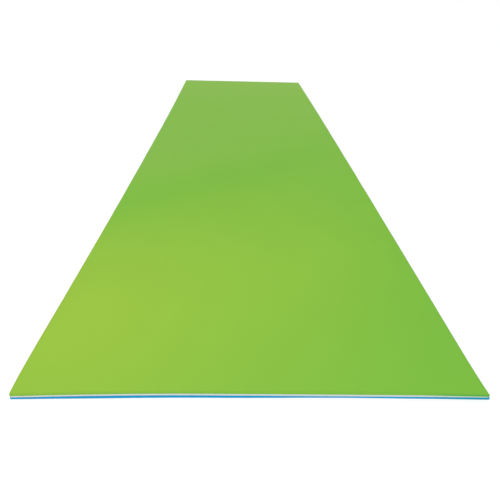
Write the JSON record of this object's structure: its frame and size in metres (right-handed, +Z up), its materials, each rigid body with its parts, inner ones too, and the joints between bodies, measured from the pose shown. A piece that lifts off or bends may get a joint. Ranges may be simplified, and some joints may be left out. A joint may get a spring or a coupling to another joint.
{
  "type": "swim float mat",
  "caption": "Long flat rectangular water mat of foam sheets fused face to face, which floats and carries people lying, sitting or playing on it.",
  "frame": {"origin": "centre of the underside, on the surface that the mat lies on", "axes": "+Z up out of the green face, +Y along the length, away from the end nearest the camera in the picture, +X across the width"},
  "size_m": [1.8384, 5.4864, 0.033],
  "materials": {
    "green_foam": "satin",
    "white_foam": "matte",
    "blue_foam": "satin"
  },
  "bodies": {
    "root": {"bottom_foam_sheet": "blue_foam", "core_foam_sheet": "white_foam", "top_foam_sheet": "green_foam"}
  },
  "joints": []
}
